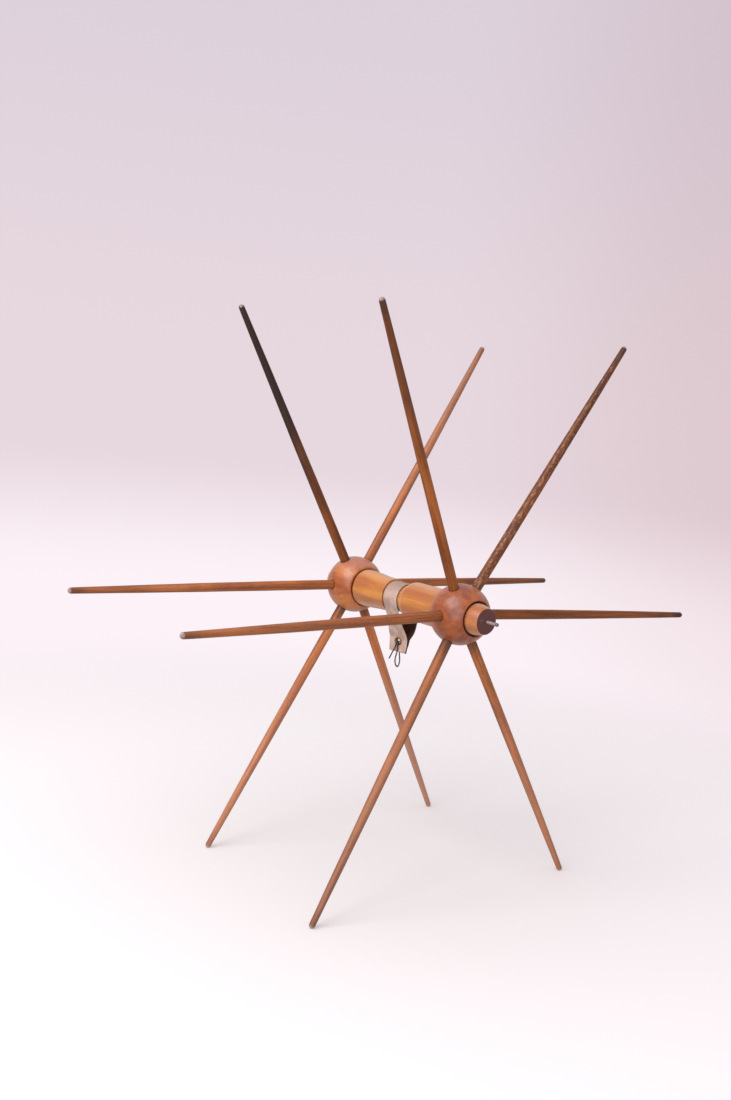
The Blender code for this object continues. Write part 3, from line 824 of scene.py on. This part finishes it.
def make_strap(outside, inside, edge):
    """One ribbon of leather with rounded, slightly wavering edges and a hole for the eyelet."""
    taut, slack = strap_path()
    path = taut + slack
    half, thin = STRAP_WIDTH / 2, STRAP_THICKNESS / 2
    count = len(ACROSS)
    # a face's kind is 0 outside, 1 inside and 2 on an edge
    verts, faces, kinds = [], [], []
    distance = 0.0
    for i, point in enumerate(path):
        before, after = path[max(i - 1, 0)], path[min(i + 1, len(path) - 1)]
        tangent = (after - before).normalized()
        normal = Vector((-tangent.y, tangent.x))
        distance += (point - path[max(i - 1, 0)]).length
        for face_side in (1, -1):
            for share in ACROSS if face_side == 1 else reversed(ACROSS):
                soft = (1 - abs(share) ** 14) ** 0.5 * 0.75 + 0.25
                sway = noise.noise((distance * 70, 3.0 if share > 0 else 8.0, 0)) * 0.00016 * abs(share)
                place = point + normal * (face_side * thin * soft)
                x = share * half + sway
                bulge = flared(x, place.y) if i >= len(taut) else 0
                verts.append(SPINDLE + twisted(x, place.x + bulge, place.y))
    ring = 2 * count
    for i in range(len(path) - 1):
        for j in range(ring):
            k = (j + 1) % ring
            faces.append((i * ring + j, i * ring + k, (i + 1) * ring + k, (i + 1) * ring + j))
            on_edge = j in (count - 1, ring - 1)
            kinds.append(2 if on_edge else (0 if j < count - 1 else 1))
    for i in (0, len(path) - 1):
        for j in range(count - 1):
            faces.append(tuple(i * ring + n for n in (j, j + 1, ring - 2 - j, ring - 1 - j)))
            kinds.append(2)
    mesh = solid("strap", verts, faces)
    for finish in (outside, inside, edge):
        mesh.materials.append(finish)
    for face, kind in zip(mesh.polygons, kinds):
        face.material_index = kind
    mesh = cut_out(mesh, rods([tab_frame()], EYELET_TUBE + GAP, 0.0120, 48))
    piece("leather_strap", mesh, [], "brake", "brake_strap", sharp=45.0)


def make_eyelet(finish):
    """A pressed eyelet, its flange in front and its curl behind, and the washer under the curl."""
    front = TAB_HALF + 0.00010
    back = -(TAB_HALF + 0.0002 + WASHER_THICKNESS)
    rim = []
    for i in range(13):
        angle = math.pi * i / 12
        middle, half = (EYELET_FLANGE + EYELET_BORE) / 2, (EYELET_FLANGE - EYELET_BORE) / 2
        rim.append((middle - half * math.cos(angle), front + FLANGE_THICKNESS * math.sin(angle) ** 0.7))
    curl = []
    for i in range(9):
        angle = math.pi * i / 8
        middle, half = (ROLL_RADIUS + EYELET_BORE) / 2, (ROLL_RADIUS - EYELET_BORE) / 2
        curl.append((middle + half * math.cos(angle), back - ROLL_THICKNESS * math.sin(angle)))
    profile = rim + [(EYELET_TUBE, front), (EYELET_TUBE, back)] + curl
    mesh = lathe("eyelet", profile, 56, closed=True)
    piece("pressed_eyelet", mesh, [finish], "brake", "eyelet", tab_frame())
    top = -(TAB_HALF + 0.0001)
    outer, low = WASHER_RADIUS, top - WASHER_THICKNESS
    ring = rounded((outer, top), (EYELET_TUBE, top), (outer, low), 0.00015, 3)
    ring += rounded((outer, low), (outer, top), (EYELET_TUBE, low), 0.00015, 3)
    ring += [(EYELET_TUBE + GAP, low), (EYELET_TUBE + GAP, top)]
    washer = lathe("washer", ring, 56, closed=True)
    piece("pressed_washer", washer, [finish], "brake", "eyelet_washer", tab_frame())


# The wire's route, given in the eyelet's own axes but without the tab's lean
HOOK_ROUTE = (
    (-0.0077, -0.0185, 0.0027), (-0.0057, -0.0140, 0.0025), (-0.0036, -0.0094, 0.0026),
    (-0.0017, -0.0058, 0.0028), (-0.0010, -0.0038, 0.0034), (-0.0008, -0.0016, 0.0032),
    (-0.0008, -0.0009, 0.0012), (-0.0008, -0.0009, -0.0022), (-0.0006, -0.0017, -0.0039),
    (-0.0005, -0.0045, -0.0042), (-0.0007, -0.0085, -0.0038), (-0.0008, -0.0115, -0.0037),
    (-0.0004, -0.0145, -0.0038), (0.0001, -0.0175, -0.0039), (0.0005, -0.0205, -0.0037),
    (0.0007, -0.0230, -0.0029), (0.0007, -0.0247, -0.0018), (0.0007, -0.0254, -0.0004),
    (0.0004, -0.0246, 0.0010), (0.0001, -0.0229, 0.0020), (-0.0003, -0.0206, 0.0026),
    (-0.0004, -0.0180, 0.0028), (-0.0001, -0.0150, 0.0027), (0.0004, -0.0118, 0.0025),
    (0.0008, -0.0088, 0.0024), (0.0010, -0.0062, 0.0027), (0.0010, -0.0038, 0.0034),
    (0.0008, -0.0016, 0.0032), (0.0008, -0.0009, 0.0014),
)


def make_hook(finish):
    """The wire as a closed tube with rounded ends."""
    path = catmull_rom(HOOK_ROUTE, 8)
    sides = 16
    rings = []
    side = None
    for i, point in enumerate(path):
        tangent = (path[min(i + 1, len(path) - 1)] - path[max(i - 1, 0)]).normalized()
        side = tangent.orthogonal() if side is None else side - tangent * side.dot(tangent)
        side.normalize()
        rings.append((point, tangent, side.copy(), WIRE_RADIUS))
    (first, first_way, first_side, _), (last, last_way, last_side, _) = rings[0], rings[-1]
    caps = [(0.35, 0.72), (0.52, 0.40)]
    head = [(first - first_way * WIRE_RADIUS * h, first_way, first_side, WIRE_RADIUS * r) for h, r in caps]
    tail = [(last + last_way * WIRE_RADIUS * h, last_way, last_side, WIRE_RADIUS * r) for h, r in caps]
    rings = head[::-1] + rings + tail
    verts, faces = [], []
    for point, tangent, across, radius in rings:
        other = tangent.cross(across)
        for k in range(sides):
            angle = 2 * math.pi * k / sides
            verts.append(point + (across * math.cos(angle) + other * math.sin(angle)) * radius)
    for i in range(len(rings) - 1):
        for k in range(sides):
            n = (k + 1) % sides
            faces.append((i * sides + k, i * sides + n, (i + 1) * sides + n, (i + 1) * sides + k))
    faces.append(tuple(range(sides))[::-1])
    faces.append(tuple((len(rings) - 1) * sides + k for k in range(sides)))
    mesh = solid("wire", verts, faces)
    piece("bent_wire", mesh, [finish], "hook", "wire_hook", tab_frame(0), 50.0)


# ---------------------------------------------------------------- studio

# The paper's colours, darker near the middle as painted shade against the softbox, and the glow that takes
# over further out, which is painted light
NEAR_PAPER, FAR_PAPER = (0.80, 0.775, 0.785, 1), (0.94, 0.92, 0.935, 1)
FLOOR_GLOW = (0.20, 0.19, 0.195, 1)
LOW_GLOW = (0.975, 0.890, 0.935, 1)
MIDDLE_GLOW = (0.80, 0.685, 0.735, 1)
HIGH_GLOW = (0.72, 0.635, 0.71, 1)
SIDE_SHADE = (0.91, 0.86, 0.86, 1)
SIDEWAYS = (0.61, 0.79, 0)
FLOOR_RADIUS = 1.30
SWEEP_RADIUS = 1.20
WALL_TOP = 4.5
FLOOR_DROP = 0.0002

WORLD_COLOR = (1.0, 0.94, 0.96, 1)
WORLD_STRENGTH = 0.48

# Each light's place, what it points at, its size, its power and its colour
LIGHTS = {
    "softbox": ((0.10, -1.25, 1.60), (0, 0, 0.15), 1.4, 17.0, (1.0, 0.97, 0.96)),
    "fill": ((1.20, -1.70, 0.80), (0, 0, 0.25), 2.2, 18.0, (1.0, 0.96, 0.94)),
}

# The lens is in millimetres
CAMERA_PLACE = (0.82627, -0.70755, 0.42789)
CAMERA_RIGHT = Vector((0.60882, 0.78724, 0.09799))
CAMERA_FORWARD = Vector((-0.77890, 0.61662, -0.11445))
LENS = 37.494


def paper(name):
    """White paper, lit and shadowed near the object, that glows by itself further out."""
    look = Finish(name)
    length = look.node("VectorMath", operation="LENGTH")
    look.put(length.inputs[0], look.where)
    reach = length.outputs["Value"]
    height = look.axis("Z")
    # painted shade: the paper's colour is darker near the middle, where the softbox lights it most
    near = look.mix(look.span(reach, 0.0, 0.5), NEAR_PAPER, FAR_PAPER)
    # painted light: the paper glows, less as it rises
    glow = look.mix(look.span(height, 0.0, 0.30), LOW_GLOW, MIDDLE_GLOW)
    glow = look.mix(look.span(height, 0.50, 1.70), glow, HIGH_GLOW)
    # painted shade on the camera's right side
    aside = look.node("VectorMath", operation="DOT_PRODUCT")
    look.put(aside.inputs[0], look.where)
    aside.inputs[1].default_value = SIDEWAYS
    glow = look.mix(look.span(aside.outputs["Value"], 0.1, 1.0), glow, SIDE_SHADE, "MULTIPLY")
    share = look.span(reach, 0.35, 1.10)
    look.set(Base_Color=look.mix(share, near, (0, 0, 0, 1)), Roughness=0.9, Specular_IOR_Level=0.0)
    look.set(Emission_Color=look.mix(share, FLOOR_GLOW, glow), Emission_Strength=1.0)
    look.material.cycles.emission_sampling = "NONE"
    return look.material


def make_studio():
    """A white floor that sweeps up all round into a pale wall, which only the camera sees."""
    finish = paper("studio_paper")
    floor = lathe("floor", [(0, 0), (0.4, 0), (0.9, 0), (FLOOR_RADIUS, 0)])
    profile = [(FLOOR_RADIUS, 0)]
    for i in range(1, 25):
        angle = math.radians(90 * i / 24)
        height = SWEEP_RADIUS * (1 - math.cos(angle))
        profile.append((FLOOR_RADIUS + SWEEP_RADIUS * math.sin(angle), height))
    backdrop = lathe("backdrop", profile + [(FLOOR_RADIUS + SWEEP_RADIUS, WALL_TOP)])
    for name, mesh in (("floor", floor), ("backdrop", backdrop)):
        made = bpy.data.objects.new(name, mesh)
        bpy.context.scene.collection.objects.link(made)
        mesh.materials.append(finish)
        for face in mesh.polygons:
            face.use_smooth = True
        if name == "backdrop":
            mesh.flip_normals()
        made.visible_diffuse = False
        made.visible_glossy = False
        made.visible_shadow = False
        made.visible_transmission = False
        made.location.z = -FLOOR_DROP


def area_light(name, place, target, size, power, color):
    """A round light, which isn't seen itself."""
    data = bpy.data.lights.new(name, "AREA")
    data.shape = "DISK"
    data.size = size
    data.energy = power
    data.color = color
    made = bpy.data.objects.new(name, data)
    made.location = place
    made.rotation_mode = "QUATERNION"
    made.rotation_quaternion = (Vector(target) - Vector(place)).to_track_quat("-Z", "Y")
    made.visible_camera = False
    bpy.context.scene.collection.objects.link(made)


def make_lights():
    world = bpy.data.worlds.new("studio")
    bpy.context.scene.world = world
    world.use_nodes = True
    background = world.node_tree.nodes["Background"]
    background.inputs["Color"].default_value = WORLD_COLOR
    background.inputs["Strength"].default_value = WORLD_STRENGTH
    for name, (place, target, size, power, color) in LIGHTS.items():
        area_light(name, place, target, size, power, color)


def make_camera():
    data = bpy.data.cameras.new("camera")
    data.sensor_width = 36.0
    data.sensor_fit = "AUTO"
    data.lens = LENS
    data.clip_start, data.clip_end = 0.01, 20.0
    made = bpy.data.objects.new("camera", data)
    bpy.context.scene.collection.objects.link(made)
    up = CAMERA_RIGHT.cross(CAMERA_FORWARD).normalized()
    right = CAMERA_FORWARD.cross(up).normalized()
    turn = Matrix((right, up, -CAMERA_FORWARD)).transposed().to_4x4()
    made.matrix_world = Matrix.Translation(CAMERA_PLACE) @ turn
    bpy.context.scene.camera = made


# ---------------------------------------------------------------- the whole

make_camera()
make_studio()
make_lights()
bpy.context.scene.view_settings.view_transform = "Standard"

for hub_side in ("front", "rear"):
    for spoke_number in range(1, 7):
        make_spoke(hub_side, spoke_number)
make_hub("front", 1.3)
make_hub("rear", 4.9)
make_barrel()
make_pin("front", pin_finish("front"))
make_pin("rear", pin_finish("rear"))
make_strap(
    leather_finish("leather_outside", OUTSIDE_PALE, OUTSIDE_DEEP, 0.8, 0.3),
    leather_finish("leather_inside", INSIDE_PALE, INSIDE_DEEP, 0.6, 1.1),
    leather_finish("leather_edge", EDGE_PALE, EDGE_DEEP, 0.7, 2.2),
)
make_eyelet(metal_finish("eyelet_bronze", BRONZE_PALE, BRONZE_DEEP, 0.28, 0.50, 0.9).material)
make_hook(metal_finish("wire_dull", WIRE_PALE, WIRE_DEEP, 0.35, 0.55, 1.9).material)
